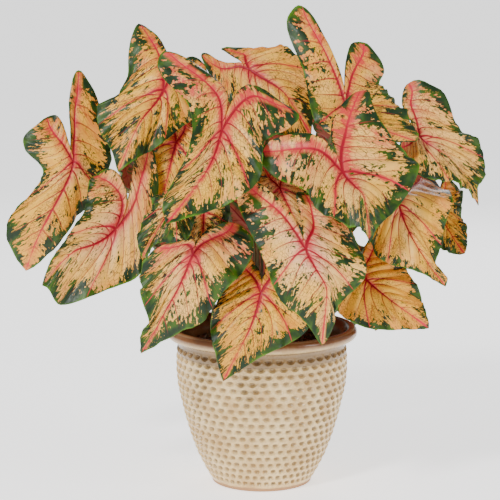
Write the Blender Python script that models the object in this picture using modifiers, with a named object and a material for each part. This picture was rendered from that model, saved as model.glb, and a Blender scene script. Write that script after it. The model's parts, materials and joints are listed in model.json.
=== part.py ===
"""A caladium in its glazed pot: turned pot, soil with a hole for each stalk, and one blade and one stalk
for each leaf. Lengths are metres, +Z is up, and the origin is the centre of the pot's foot."""

import math
import random

import bmesh
import bpy
import numpy as np
from mathutils import Vector
from mathutils.bvhtree import BVHTree

MM = 0.001

# The view that the leaf readings were taken in: a 500-pixel square, looking along +Y and a little down.
VIEW_EYE = Vector((-0.0126, -1.8, 0.52))
VIEW_PITCH = math.radians(8.55)
VIEW_FOCAL = 1714.0
VIEW_CENTRE = 250.0

# Pot, turned about Z.
POT_FOOT_RADIUS = 0.053
POT_BELLY_RADIUS = 0.0908
POT_RIM_RADIUS = 0.102
POT_HEIGHT = 0.1685
POT_FLOOR = 0.0115
RIM_ROLL = 0.0062
WALL_HEIGHTS = (POT_FLOOR, 0.022, 0.0497, 0.0894, 0.1224, 0.1432, 0.153)
WALL_RADII = (0.046, 0.0575, 0.0691, 0.0797, 0.0848, 0.0841, 0.0822)
LIP_TURNS = (150, 110, 70, 30, -10, -50)
TURN_STEPS = 36
MERGE_DISTANCE = 0.00001

# Soil and the holes that the stalks stand in.
SOIL_TOP = 0.142
SOIL_CROWN = 0.145
SOIL_GAP = 0.0003
HOLE_RADIUS = 0.0032
HOLE_DEPTH = 0.008
HOLE_SPACING = 0.0095
HOLE_FIELD = 0.060

# Blades and stalks.
BLADE_THICKNESS = 0.0008
STALK_RADIUS = 0.0021
STALK_JOINT_GAP = 0.0003
SPOKES = 26
RINGS = 4
SPOKE_CROWDING = 0.12
RING_CROWDING = 1.4
WAVE_COUNT = 7
WAVE_HEIGHT = 0.0032
WAVE_GROWTH = 2.2
SECOND_WAVE = 0.45
SECOND_WAVE_COUNT = 1.7 * WAVE_COUNT
SECOND_WAVE_PHASE = 2.3

# Half of the flat leaf's outline: angle from the tip in degrees, and distance from the hub as a share
# of the distance from hub to tip. The last angle is the notch between the two basal lobes.
OUTLINE_ANGLES = (0, 12, 30, 50, 70, 90, 110, 130, 146, 158, 167, 174, 180)
OUTLINE_REACH = (1.0, 0.87, 0.71, 0.60, 0.54, 0.51, 0.53, 0.64, 0.79, 0.85, 0.66, 0.34, 0.13)

# Where each named place lies on the flat leaf, seen from above with the tip down: (right, toward tip).
PLACES = {
    "hub": (0.0, 0.0), "mid": (0.0, 0.5), "tip": (0.0, 1.0), "notch": (0.0, -0.13),
    "left_low": (-0.44, 0.40), "right_low": (0.44, 0.40),
    "left_side": (-0.51, 0.0), "right_side": (0.51, 0.0),
    "left_shoulder": (-0.50, -0.38), "right_shoulder": (0.50, -0.38),
    "left_outer": (-0.46, -0.60), "right_outer": (0.46, -0.60),
    "left_lobe": (-0.35, -0.77), "right_lobe": (0.35, -0.77),
    "left_inner": (-0.12, -0.45), "right_inner": (0.12, -0.45),
}

# Each leaf read in the view: pixel across, pixel down, and millimetres toward the viewer from the axis.
LEAVES = {
    "top_right": dict(
        hub=(346, 104, 50), mid=(376, 127, 72), tip=(415, 142, 62), notch=(345, 88, 42),
        left_low=(336, 138, 82), right_low=(407, 118, 48), left_side=(309, 104, 60), right_side=(394, 98, 32),
        left_shoulder=(302, 66, 34), right_shoulder=(381, 83, 20), left_outer=(286, 24, 10),
        right_outer=(385, 66, 6), left_lobe=(300, 8, 2), right_lobe=(364, 46, 2),
        left_inner=(330, 50, 20), right_inner=(350, 64, 24)),
    "centre_right": dict(
        hub=(343, 172, 120), mid=(364, 195, 146), tip=(371, 243, 160), notch=(335, 155, 112),
        left_low=(350, 224, 164), right_low=(392, 212, 140), left_side=(318, 209, 160),
        right_side=(419, 166, 104), left_shoulder=(301, 190, 150), right_shoulder=(393, 138, 90),
        left_outer=(274, 174, 126), right_outer=(372, 108, 76), left_lobe=(258, 153, 110),
        right_lobe=(364, 89, 68), left_inner=(312, 140, 112), right_inner=(338, 130, 94)),
    "centre": dict(
        hub=(222, 130, 120), mid=(202, 178, 156), tip=(166, 225, 182), notch=(226, 115, 111),
        left_low=(171, 186, 168), right_low=(232, 200, 160), left_side=(188, 152, 150),
        right_side=(262, 173, 136), left_shoulder=(186, 100, 104), right_shoulder=(266, 140, 116),
        left_outer=(160, 74, 68), right_outer=(286, 129, 98), left_lobe=(167, 54, 58),
        right_lobe=(296, 115, 88), left_inner=(217, 84, 90), right_inner=(249, 89, 89)),
    "upper_left": dict(
        hub=(164, 90, 40), mid=(140, 122, 64), tip=(118, 172, 76), notch=(168, 72, 30),
        left_low=(104, 136, 62), right_low=(150, 150, 64), left_side=(99, 108, 42), right_side=(180, 128, 52),
        left_shoulder=(126, 80, 20), right_shoulder=(206, 112, 38), left_outer=(130, 46, 2),
        right_outer=(212, 90, 20), left_lobe=(140, 25, -10), right_lobe=(204, 66, 4),
        left_inner=(164, 50, 8), right_inner=(182, 68, 14)),
    "far_left": dict(
        hub=(74, 161, 20), mid=(47, 220, 32), tip=(26, 271, 14), notch=(70, 150, 14),
        left_low=(12, 214, 26), right_low=(82, 212, 14), left_side=(44, 176, 22), right_side=(108, 178, -4),
        left_shoulder=(24, 150, 16), right_shoulder=(110, 145, -10), left_outer=(26, 134, 10),
        right_outer=(98, 98, -14), left_lobe=(46, 119, 6), right_lobe=(80, 72, -18),
        left_inner=(64, 134, 10), right_inner=(70, 108, -4)),
    "lower_left": dict(
        hub=(116, 229, 72), mid=(76, 250, 98), tip=(42, 285, 110), notch=(126, 210, 64),
        left_low=(60, 248, 100), right_low=(62, 303, 112), left_side=(78, 221, 82),
        right_side=(110, 288, 98), left_shoulder=(86, 198, 64), right_shoulder=(147, 264, 84),
        left_outer=(89, 184, 54), right_outer=(158, 186, 62), left_lobe=(94, 175, 46),
        right_lobe=(150, 143, 52), left_inner=(118, 182, 52), right_inner=(135, 178, 58)),
    "small_front_left": dict(
        hub=(172, 206, 140), mid=(158, 228, 152), tip=(141, 257, 158), notch=(174, 200, 136),
        left_low=(138, 232, 150), right_low=(164, 241, 158), left_side=(150, 212, 140),
        right_side=(186, 240, 154), left_shoulder=(152, 200, 132), right_shoulder=(194, 224, 146),
        left_outer=(158, 194, 126), right_outer=(196, 210, 138), left_lobe=(164, 190, 122),
        right_lobe=(190, 198, 130), left_inner=(171, 194, 128), right_inner=(180, 198, 130)),
    "lower_centre_left": dict(
        hub=(193, 254, 138), mid=(167, 308, 144), tip=(141, 353, 138), notch=(196, 244, 134),
        left_low=(150, 320, 146), right_low=(199, 322, 134), left_side=(140, 292, 148),
        right_side=(222, 294, 130), left_shoulder=(140, 278, 154), right_shoulder=(246, 270, 126),
        left_outer=(144, 262, 158), right_outer=(254, 244, 120), left_lobe=(154, 250, 156),
        right_lobe=(236, 224, 116), left_inner=(182, 242, 146), right_inner=(210, 233, 124)),
    "bottom_centre": dict(
        hub=(261, 293, 104), mid=(247, 335, 116), tip=(223, 381, 122), notch=(262, 282, 100),
        left_low=(214, 344, 120), right_low=(268, 352, 120), left_side=(212, 314, 112),
        right_side=(309, 328, 112), left_shoulder=(220, 293, 104), right_shoulder=(300, 304, 102),
        left_outer=(226, 276, 98), right_outer=(298, 288, 96), left_lobe=(240, 260, 92),
        right_lobe=(290, 266, 90), left_inner=(254, 268, 92), right_inner=(270, 266, 92)),
    "front_right": dict(
        hub=(306, 249, 152), mid=(327, 288, 164), tip=(322, 346, 162), notch=(303, 236, 146),
        left_low=(284, 302, 162), right_low=(338, 302, 160), left_side=(266, 266, 152),
        right_side=(366, 276, 148), left_shoulder=(249, 232, 142), right_shoulder=(357, 240, 134),
        left_outer=(238, 203, 132), right_outer=(334, 204, 122), left_lobe=(239, 180, 124),
        right_lobe=(306, 194, 114), left_inner=(284, 208, 134), right_inner=(306, 216, 126)),
    "lower_right": dict(
        hub=(367, 280, 82), mid=(396, 304, 96), tip=(429, 328, 104), notch=(360, 274, 78),
        left_low=(392, 329, 104), right_low=(421, 298, 90), left_side=(350, 322, 100),
        right_side=(409, 273, 80), left_shoulder=(334, 303, 94), right_shoulder=(402, 254, 70),
        left_outer=(330, 284, 86), right_outer=(392, 243, 64), left_lobe=(336, 264, 78),
        right_lobe=(378, 234, 60), left_inner=(350, 262, 74), right_inner=(366, 254, 68)),
    "right": dict(
        hub=(399, 204, 94), mid=(424, 256, 114), tip=(447, 285, 122), notch=(400, 196, 88),
        left_low=(404, 266, 118), right_low=(436, 262, 110), left_side=(376, 256, 112),
        right_side=(445, 229, 90), left_shoulder=(371, 234, 100), right_shoulder=(453, 202, 72),
        left_outer=(378, 216, 88), right_outer=(444, 186, 34), left_lobe=(384, 192, 72),
        right_lobe=(426, 170, 16), left_inner=(394, 188, 76), right_inner=(408, 182, 48)),
    "upper_right": dict(
        hub=(420, 137, 24), mid=(452, 160, 38), tip=(479, 205, 42), notch=(416, 126, 18),
        left_low=(462, 184, 70), right_low=(484, 172, 30), left_side=(434, 178, 72),
        right_side=(478, 141, 16), left_shoulder=(410, 178, 62), right_shoulder=(456, 122, 8),
        left_outer=(402, 166, 52), right_outer=(442, 91, -4), left_lobe=(400, 150, 42),
        right_lobe=(412, 82, -10), left_inner=(412, 134, 24), right_inner=(405, 104, 2)),
    "small_right": dict(
        hub=(438, 206, 12), mid=(450, 232, 30), tip=(464, 254, 44), notch=(437, 198, 8),
        left_low=(440, 248, 42), right_low=(467, 236, 28), left_side=(430, 228, 30),
        right_side=(462, 213, 12), left_shoulder=(424, 208, 16), right_shoulder=(463, 192, 0),
        left_outer=(422, 196, 8), right_outer=(456, 182, -6), left_lobe=(428, 186, 2),
        right_lobe=(446, 178, -8), left_inner=(434, 190, 4), right_inner=(441, 190, 2)),
    "top_centre": dict(
        hub=(249, 69, 0), mid=(284, 92, 14), tip=(311, 136, 24), notch=(242, 62, -6),
        left_low=(278, 134, 30), right_low=(312, 86, 2), left_side=(250, 118, 26), right_side=(296, 54, -10),
        left_shoulder=(228, 100, 14), right_shoulder=(272, 44, -16), left_outer=(214, 84, 4),
        right_outer=(250, 49, -18), left_lobe=(202, 58, -12), right_lobe=(226, 48, -18),
        left_inner=(224, 64, -11), right_inner=(238, 56, -14)),
    "inner_left": dict(
        hub=(176, 142, 40), mid=(168, 174, 44), tip=(158, 214, 46), notch=(178, 134, 36),
        left_low=(142, 172, 34), right_low=(188, 190, 50), left_side=(144, 142, 26),
        right_side=(204, 166, 52), left_shoulder=(148, 116, 18), right_shoulder=(208, 144, 46),
        left_outer=(152, 104, 18), right_outer=(204, 126, 44), left_lobe=(162, 98, 16),
        right_lobe=(192, 108, 34), left_inner=(172, 116, 30), right_inner=(182, 120, 36)),
    "inner_centre": dict(
        hub=(280, 188, 98), mid=(290, 208, 106), tip=(298, 236, 112), notch=(278, 182, 94),
        left_low=(268, 218, 108), right_low=(312, 218, 104), left_side=(256, 202, 102),
        right_side=(308, 196, 96), left_shoulder=(252, 184, 94), right_shoulder=(304, 176, 86),
        left_outer=(256, 172, 88), right_outer=(298, 164, 80), left_lobe=(264, 166, 84),
        right_lobe=(288, 160, 78), left_inner=(273, 176, 88), right_inner=(281, 174, 86)),
    "inner_low": dict(
        hub=(204, 212, 96), mid=(203, 232, 104), tip=(201, 262, 108), notch=(205, 206, 92),
        left_low=(186, 232, 98), right_low=(222, 234, 102), left_side=(180, 212, 90),
        right_side=(230, 212, 96), left_shoulder=(180, 194, 82), right_shoulder=(230, 194, 88),
        left_outer=(184, 184, 78), right_outer=(226, 184, 84), left_lobe=(190, 178, 74),
        right_lobe=(220, 176, 78), left_inner=(200, 192, 82), right_inner=(209, 192, 82)),
}

# Leaves that the view hides, on the plant's far side: degrees round Z from +X, millimetres from the axis
# and above the foot for the hub, length from hub to tip, and degrees that the blade hangs below level.
BACK_LEAVES = {
    "back_low_right": dict(around=8, out=112, up=236, length=84, hang=52),
    "back_low_far_right": dict(around=46, out=122, up=240, length=96, hang=52),
    "back_low_middle": dict(around=84, out=98, up=236, length=98, hang=52),
    "back_low_far_left": dict(around=129, out=122, up=230, length=84, hang=56),
    "back_low_left": dict(around=164, out=98, up=222, length=78, hang=50),
    "back_high_right": dict(around=20, out=114, up=340, length=104, hang=56),
    "back_high_middle": dict(around=60, out=142, up=318, length=96, hang=58),
    "back_high_left": dict(around=100, out=110, up=334, length=104, hang=56),
    "back_high_far_left": dict(around=137, out=138, up=322, length=104, hang=54),
    "back_upper_left": dict(around=168, out=146, up=380, length=76, hang=66),
    "back_crown": dict(around=84, out=88, up=412, length=72, hang=42),
}

# How the hidden leaves differ from one another and how their blades droop: the hang grows toward the tip
# and eases toward the lobes, and the sides fall away from the midrib.
BACK_ROLL = 14
BACK_LEAN = 0.12
BACK_STIR = 0.02
TIP_DROOP = 24
LOBE_RISE = 14
SIDE_FALL = 0.42

# A stalk that meets a leaf on its way is bent: how far, in which directions, how high it stays upright,
# and how much it climbs into the hub. The first choice that is clear is taken.
STALK_CLEARANCE = 0.0012
STALK_GATHER = 0.26
STALK_SPLAY = 0.2
ARRIVAL_SHARE = 0.24
STRAIGHT_RISE = 0.005
CURVE_STEPS = 6
HUB_REACH = 0.009
PROBE_RAYS = 12
SETTLING_ROUNDS = 300
SEATS = (0.0013, 0.0018, 0.0024, 0.0032, 0.005)
BEND_REACHES = (0, 10, 20, 30, 42)
BEND_DIRECTIONS = 12
UPRIGHT_SHARES = (0.45, 0.7, 0.3)
ARRIVAL_CLIMBS = (0.35, 0.9, 0.0)

COLOURS = {
    "pot": (0.62, 0.54, 0.43), "soil": (0.045, 0.026, 0.016),
    "blade": (0.72, 0.36, 0.20), "stalk": (0.10, 0.09, 0.04),
}
ROUGHNESS = {"pot": 0.25, "soil": 0.95, "blade": 0.45, "stalk": 0.5}


def clear_scene():
    for old in list(bpy.data.objects):
        bpy.data.objects.remove(old, do_unlink=True)


def new_collection(name):
    collection = bpy.data.collections.new(name)
    bpy.context.scene.collection.children.link(collection)
    return collection


def finish_material(kind, name):
    material = bpy.data.materials.new(name + "_finish")
    material.use_nodes = True
    shader = material.node_tree.nodes["Principled BSDF"]
    shader.inputs["Base Color"].default_value = (*COLOURS[kind], 1.0)
    shader.inputs["Roughness"].default_value = ROUGHNESS[kind]
    shader.inputs["Metallic"].default_value = 0.0
    return material


def add_object(name, data, collection, kind):
    made = bpy.data.objects.new(name, data)
    made.data.materials.append(finish_material(kind, name))
    collection.objects.link(made)
    return made


def from_view(pixel_across, pixel_down, toward_mm):
    """The point at a pixel of the view, the given distance in front of the pot's axis."""
    across = (pixel_across - VIEW_CENTRE) / VIEW_FOCAL
    rise = (VIEW_CENTRE - pixel_down) / VIEW_FOCAL
    forward = math.cos(VIEW_PITCH) + rise * math.sin(VIEW_PITCH)
    upward = -math.sin(VIEW_PITCH) + rise * math.cos(VIEW_PITCH)
    reach = (-toward_mm * MM - VIEW_EYE.y) / forward
    return VIEW_EYE + reach * Vector((across, forward, upward))


def back_leaf_points(leaf, seed):
    """The named places of a leaf that hangs outward from its hub, with its lobes standing up."""
    turn = math.radians(leaf["around"])
    outward = Vector((math.cos(turn), math.sin(turn), 0.0))
    sideways = Vector((0.0, 0.0, 1.0)).cross(outward)
    hub = outward * leaf["out"] * MM + Vector((0.0, 0.0, leaf["up"] * MM))
    draw = random.Random(seed)
    roll = math.radians(draw.uniform(-BACK_ROLL, BACK_ROLL))
    lean = draw.uniform(-BACK_LEAN, BACK_LEAN)
    points = {}
    for place, (right, down) in PLACES.items():
        across = right * math.cos(roll) - down * math.sin(roll)
        along = right * math.sin(roll) + down * math.cos(roll)
        hang = math.radians(leaf["hang"] + (TIP_DROOP * along if along > 0 else -LOBE_RISE * along))
        step = outward * math.cos(hang) * along - Vector((0, 0, 1)) * math.sin(hang) * along
        fall = outward * (lean * across - SIDE_FALL * across * across)
        stir = Vector([draw.uniform(-BACK_STIR, BACK_STIR) for _ in range(3)])
        points[place] = hub + leaf["length"] * MM * (step + sideways * across + fall + stir)
    return points


def leaf_points(name, seed):
    if name in LEAVES:
        return {place: from_view(*reading) for place, reading in LEAVES[name].items()}
    return back_leaf_points(BACK_LEAVES[name], seed)


def spread(distance):
    """The bending function of a thin plate, at an array of distances."""
    safe = np.maximum(distance, 1e-9)
    return safe * safe * np.log(safe)


class LeafForm:
    """A smooth map from the flat leaf to space that passes by the leaf's named places."""

    STIFFNESS = 0.004

    def __init__(self, points):
        self.flat = np.array([PLACES[place] for place in points])
        space = np.array([tuple(point) for point in points.values()])
        count = len(self.flat)
        bend = spread(np.linalg.norm(self.flat[:, None] - self.flat[None], axis=2))
        bend += self.STIFFNESS * np.eye(count)
        plane = np.hstack([np.ones((count, 1)), self.flat])
        system = np.block([[bend, plane], [plane.T, np.zeros((3, 3))]])
        self.weights = np.linalg.solve(system, np.vstack([space, np.zeros((3, 3))]))

    def at(self, flat):
        bend = spread(np.linalg.norm(flat[:, None] - self.flat[None], axis=2))
        return np.hstack([bend, np.ones((len(flat), 1)), flat]) @ self.weights

    def upward(self, flat):
        """The unit normals of the leaf's upper face."""
        small = 0.01
        right = self.at(flat + (small, 0)) - self.at(flat - (small, 0))
        down = self.at(flat + (0, small)) - self.at(flat - (0, small))
        normal = np.cross(down, right)
        return normal / np.linalg.norm(normal, axis=1)[:, None]


def outline_reach(angle):
    """Distance from hub to margin in the direction that makes this angle with the tip."""
    return np.interp(np.abs(np.degrees(angle)), OUTLINE_ANGLES, OUTLINE_REACH)


def margin_wave(angle, share, phase):
    """Height of the ruffle, which grows toward the margin."""
    ripple = np.sin(WAVE_COUNT * angle + phase)
    ripple += SECOND_WAVE * np.sin(SECOND_WAVE_COUNT * angle + SECOND_WAVE_PHASE * phase)
    return WAVE_HEIGHT * share ** WAVE_GROWTH * ripple


def flat_leaf(spokes, rings):
    """A grid bent into a fan round the hub, with its seam closed, split into triangles."""
    mesh = bmesh.new()
    bmesh.ops.create_grid(mesh, x_segments=spokes, y_segments=rings, size=1.0)
    for vert in mesh.verts:
        turn = vert.co.x
        angle = math.pi * (turn + SPOKE_CROWDING * math.sin(math.pi * turn))
        share = 1.0 - (0.5 - 0.5 * vert.co.y) ** RING_CROWDING
        reach = float(outline_reach(angle)) * share
        vert.co = Vector((reach * math.sin(angle), reach * math.cos(angle), 0.0))
    bmesh.ops.remove_doubles(mesh, verts=mesh.verts, dist=1e-6)
    bmesh.ops.triangulate(mesh, faces=mesh.faces, quad_method="BEAUTY")
    return mesh


def shape_leaf(mesh, form, phase):
    """Move the flat fan's corners into space and ruffle the margin."""
    flat = np.array([vert.co[:2] for vert in mesh.verts])
    angle = np.arctan2(flat[:, 0], flat[:, 1])
    share = np.minimum(np.hypot(flat[:, 0], flat[:, 1]) / outline_reach(angle), 1.0)
    upward = form.upward(flat)
    space = form.at(flat) + upward * margin_wave(angle, share, phase)[:, None]
    for vert, place in zip(mesh.verts, space):
        vert.co = Vector(place)
    mesh.normal_update()
    facing = sum(vert.normal.dot(Vector(up)) for vert, up in zip(mesh.verts, upward))
    if facing < 0:
        bmesh.ops.reverse_faces(mesh, faces=mesh.faces)


def make_blade(name, form, phase, collection):
    mesh = flat_leaf(SPOKES, RINGS)
    shape_leaf(mesh, form, phase)
    data = bpy.data.meshes.new(name + "_blade")
    mesh.to_mesh(data)
    mesh.free()
    data.shade_smooth()
    blade = add_object(name + "_blade", data, collection, "blade")
    skin = blade.modifiers.new("thickness", "SOLIDIFY")
    skin.thickness = BLADE_THICKNESS
    skin.offset = -1.0
    return blade


def stalk_feet(forms):
    """Where each stalk leaves the soil: under its leaf, the far leaves further out, none too close."""
    names = list(forms)
    hubs = np.array([forms[name].at(np.zeros((1, 2)))[0] for name in names])
    feet = hubs[:, :2] * STALK_GATHER
    for _ in range(SETTLING_ROUNDS):
        for one in range(len(feet)):
            for other in range(one):
                apart = feet[one] - feet[other]
                distance = np.linalg.norm(apart)
                if distance < HOLE_SPACING:
                    push = apart / max(distance, 1e-6) * (HOLE_SPACING - distance) * 0.5
                    feet[one] += push
                    feet[other] -= push
    return {name: foot for name, foot in zip(names, feet)}


def stalk_path(form, foot, bend, upright, climb, seat):
    """A stalk rises from its hole and bends outward to meet the hub from below."""
    hub = Vector(form.at(np.zeros((1, 2)))[0])
    upward = Vector(form.upward(np.zeros((1, 2)))[0])
    arrive = (upward + Vector((0, 0, climb))).normalized()
    end = hub - upward * seat
    start = Vector((foot[0], foot[1], SOIL_TOP - HOLE_DEPTH + SOIL_GAP))
    span = (end - start).length
    first = start + Vector((0, 0, HOLE_DEPTH + STRAIGHT_RISE))
    leave = start + Vector((foot[0] * STALK_SPLAY, foot[1] * STALK_SPLAY, span * upright)) + bend
    enter = end - arrive * span * ARRIVAL_SHARE + bend
    path = [start]
    for step in range(CURVE_STEPS + 1):
        t = step / CURVE_STEPS
        s = 1 - t
        path.append(s ** 3 * first + 3 * s * s * t * leave + 3 * s * t * t * enter + t ** 3 * end)
    return path


def samples_along(path, spacing=0.003):
    places = []
    for one, other in zip(path, path[1:]):
        count = max(1, int((other - one).length / spacing))
        places += [one.lerp(other, step / count) for step in range(count)]
    return places + [path[-1]]


def bends():
    """Every choice of seat, bend, upright share and climb, the closest seat and gentlest bend first."""
    for seat in SEATS:
        for reach in BEND_REACHES:
            for upright in UPRIGHT_SHARES:
                for climb in ARRIVAL_CLIMBS:
                    for turn in range(BEND_DIRECTIONS if reach else 1):
                        angle = 2 * math.pi * turn / BEND_DIRECTIONS
                        bend = Vector((math.cos(angle), math.sin(angle), 0)) * reach * MM
                        yield bend, upright, climb, seat


def fits_under(places, tree):
    """Whether the last stretch of a stalk, at its full thickness, stays under its own blade."""
    for one, other in zip(places[-6:], places[-5:] + [places[-1] * 2 - places[-2]]):
        along = (other - one).normalized()
        side = along.orthogonal().normalized()
        across = along.cross(side)
        for turn in range(PROBE_RAYS):
            angle = 2 * math.pi * turn / PROBE_RAYS
            ray = math.cos(angle) * side + math.sin(angle) * across
            if tree.ray_cast(one, ray, STALK_RADIUS + STALK_JOINT_GAP)[0] is not None:
                return False
    return tree.ray_cast(places[-2], places[-1] - places[-2], 0.003 + STALK_JOINT_GAP)[0] is None


def is_clear(places, own, leaves, standing):
    """Whether a stalk's middle line keeps off every blade and every stalk already placed."""
    if not fits_under(places, leaves[own]):
        return False
    end = places[-1]
    for place in places:
        near_hub = (place - end).length < HUB_REACH
        for name, tree in leaves.items():
            if name == own and near_hub:
                continue
            if tree.find_nearest(place, STALK_RADIUS + STALK_CLEARANCE)[0] is not None:
                return False
        if standing.size and place.z > SOIL_CROWN:
            gap = np.linalg.norm(standing - np.array(place), axis=1).min()
            if gap < 2 * STALK_RADIUS + STALK_CLEARANCE:
                return False
    return True


def find_stalk(name, form, foot, leaves, standing):
    for choice in bends():
        path = stalk_path(form, foot, *choice)
        if is_clear(samples_along(path), name, leaves, standing):
            return path
    raise ValueError("no clear way for the stalk of " + name)


def make_stalk(name, path, collection):
    curve = bpy.data.curves.new(name + "_stalk", "CURVE")
    curve.dimensions = "3D"
    curve.bevel_depth = STALK_RADIUS
    curve.bevel_resolution = 1
    curve.use_fill_caps = True
    spline = curve.splines.new("POLY")
    spline.points.add(len(path) - 1)
    for point, place in zip(spline.points, path):
        point.co = (*place, 1.0)
    return add_object(name + "_stalk", curve, collection, "stalk")


def turned(name, profile, collection, kind):
    """A profile of (radius, height) points turned about Z."""
    data = bpy.data.meshes.new(name)
    corners = [(radius, 0.0, height) for radius, height in profile]
    data.from_pydata(corners, [(i, i + 1) for i in range(len(corners) - 1)], [])
    body = add_object(name, data, collection, kind)
    screw = body.modifiers.new("turn", "SCREW")
    screw.axis = "Z"
    screw.steps = TURN_STEPS
    screw.render_steps = TURN_STEPS
    screw.use_merge_vertices = True
    screw.merge_threshold = MERGE_DISTANCE
    screw.use_smooth_shade = True
    return body


def inner_wall(height):
    """Radius of the pot's inside at a height."""
    return float(np.interp(height, WALL_HEIGHTS, WALL_RADII))


def pot_profile():
    """Corners of the pot's section, from the middle of its floor over the lip to the middle of its foot."""
    inside = [(0.0, POT_FLOOR)] + list(zip(WALL_RADII, WALL_HEIGHTS))
    roll_radius = POT_RIM_RADIUS - RIM_ROLL
    roll_height = POT_HEIGHT - RIM_ROLL
    lip = [(roll_radius + RIM_ROLL * math.cos(math.radians(turn)),
            roll_height + RIM_ROLL * math.sin(math.radians(turn))) for turn in LIP_TURNS]
    outside = [(0.0885, 0.152), (0.0902, 0.1432), (POT_BELLY_RADIUS, 0.1224), (0.0857, 0.0894),
               (0.0751, 0.0497), (0.0613, 0.0168), (0.0545, 0.004), (POT_FOOT_RADIUS, 0.0), (0.0, 0.0)]
    return inside + lip + outside


def soil_profile():
    bottom = POT_FLOOR + SOIL_GAP
    """Corners of the soil's section: its crown, its edge, and the inside of the pot down to the floor."""
    levels = (SOIL_TOP, *reversed(WALL_HEIGHTS[1:5]))
    top = [(0.0, SOIL_CROWN), (HOLE_FIELD, SOIL_CROWN)]
    side = [(inner_wall(z) - SOIL_GAP, z) for z in levels]
    return top + side + [(inner_wall(bottom) - SOIL_GAP, bottom), (0.0, bottom)]


def make_soil(feet, parts, cutters):
    soil = turned("soil", soil_profile(), parts, "soil")
    mesh = bmesh.new()
    for foot in feet.values():
        top = SOIL_CROWN + HOLE_RADIUS
        bottom = SOIL_TOP - HOLE_DEPTH
        made = bmesh.ops.create_cone(mesh, cap_ends=True, segments=8, radius1=HOLE_RADIUS,
                                     radius2=HOLE_RADIUS, depth=top - bottom)
        bmesh.ops.translate(mesh, verts=made["verts"], vec=(foot[0], foot[1], (top + bottom) / 2))
    data = bpy.data.meshes.new("stalk_holes")
    mesh.to_mesh(data)
    mesh.free()
    drill = bpy.data.objects.new("stalk_holes", data)
    cutters.objects.link(drill)
    drill.hide_render = True
    drill.display_type = "WIRE"
    cut = soil.modifiers.new("holes", "BOOLEAN")
    cut.operation = "DIFFERENCE"
    cut.object = drill
    cut.solver = "EXACT"
    return soil


def leaf_trees(names):
    """A search tree of each finished blade."""
    state = bpy.context.evaluated_depsgraph_get()
    return {name: BVHTree.FromObject(bpy.data.objects[name + "_blade"], state) for name in names}


def main():
    clear_scene()
    parts = new_collection("caladium")
    cutters = new_collection("cutters")
    names = list(LEAVES) + list(BACK_LEAVES)
    forms = {name: LeafForm(leaf_points(name, seed)) for seed, name in enumerate(names)}
    feet = stalk_feet(forms)
    turned("pot", pot_profile(), parts, "pot")
    make_soil(feet, parts, cutters)
    for seed, name in enumerate(names):
        phase = random.Random(100 + seed).uniform(0, 2 * math.pi)
        make_blade(name, forms[name], phase, parts)
    leaves = leaf_trees(names)
    standing = np.empty((0, 3))
    for name in names:
        path = find_stalk(name, forms[name], feet[name], leaves, standing)
        make_stalk(name, path, parts)
        standing = np.vstack([standing, np.array([tuple(place) for place in samples_along(path)])])


main()
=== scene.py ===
# %% [markdown]
# A caladium in a glazed pot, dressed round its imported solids. The plant's blades, stalks, soil and pot are
# fixed in place by the frame. This lesson gives each of them the surface that the real thing has: veins,
# mottling and a waved edge for the leaves, grain for the soil, and scooped glaze for the pot.

# %% Load the frame
import json
import math
import random

import bmesh
import bpy
import numpy as np
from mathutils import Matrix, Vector

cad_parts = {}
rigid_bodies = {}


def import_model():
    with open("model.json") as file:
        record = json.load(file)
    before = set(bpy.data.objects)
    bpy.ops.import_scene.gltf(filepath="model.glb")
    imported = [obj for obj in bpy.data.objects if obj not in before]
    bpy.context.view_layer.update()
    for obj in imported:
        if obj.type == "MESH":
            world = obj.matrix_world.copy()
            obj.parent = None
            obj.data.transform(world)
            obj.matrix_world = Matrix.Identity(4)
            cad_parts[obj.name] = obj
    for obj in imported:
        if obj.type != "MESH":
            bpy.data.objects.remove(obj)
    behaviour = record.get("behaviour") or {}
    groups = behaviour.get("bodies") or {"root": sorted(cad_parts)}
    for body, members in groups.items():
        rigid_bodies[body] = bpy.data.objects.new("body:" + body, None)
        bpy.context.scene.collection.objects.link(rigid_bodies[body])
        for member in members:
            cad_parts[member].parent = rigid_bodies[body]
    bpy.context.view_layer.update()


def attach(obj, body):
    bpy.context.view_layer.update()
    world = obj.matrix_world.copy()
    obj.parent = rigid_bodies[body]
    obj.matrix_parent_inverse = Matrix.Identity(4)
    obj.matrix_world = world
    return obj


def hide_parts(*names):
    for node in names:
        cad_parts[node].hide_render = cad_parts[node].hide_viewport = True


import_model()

# %% [markdown]
# The photograph looks along +Y and a little down, from about 1.8 m. A long lens set that far away gives its
# flat perspective. The same numbers place the leaf readings further down, so they are named once, here.

# %% Camera
MM = 0.001
VIEW_EYE = Vector((-0.0126, -1.8, 0.52))
VIEW_PITCH = math.radians(8.55)
VIEW_FOCAL = 1714.0
VIEW_SIZE = 500
VIEW_CENTRE = 250.0
SENSOR = 36.0


def make_camera():
    lens = bpy.data.cameras.new("camera")
    lens.sensor_width = SENSOR
    lens.lens = VIEW_FOCAL / VIEW_SIZE * SENSOR
    camera = bpy.data.objects.new("camera", lens)
    camera.location = VIEW_EYE
    camera.rotation_euler = (math.pi / 2 - VIEW_PITCH, 0, 0)
    bpy.context.scene.collection.objects.link(camera)
    bpy.context.scene.camera = camera


make_camera()
print("camera at", tuple(VIEW_EYE), "with a lens of", round(VIEW_FOCAL / VIEW_SIZE * SENSOR, 1), "mm")

# %% [markdown]
# A plain pale floor reaches out to the horizon and glows a little, so that it stays pale in every view. The
# world gives an even fill, a lamp high on the left makes the form, a weaker one lifts the right side, and
# one behind the plant lights the backs of the leaves.

# %% Floor and lights
FLOOR_SIZE = 900.0
FLOOR_DROP = 0.0005
FLOOR_GLOW = 1.3
WORLD_STRENGTH = 0.42

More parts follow.
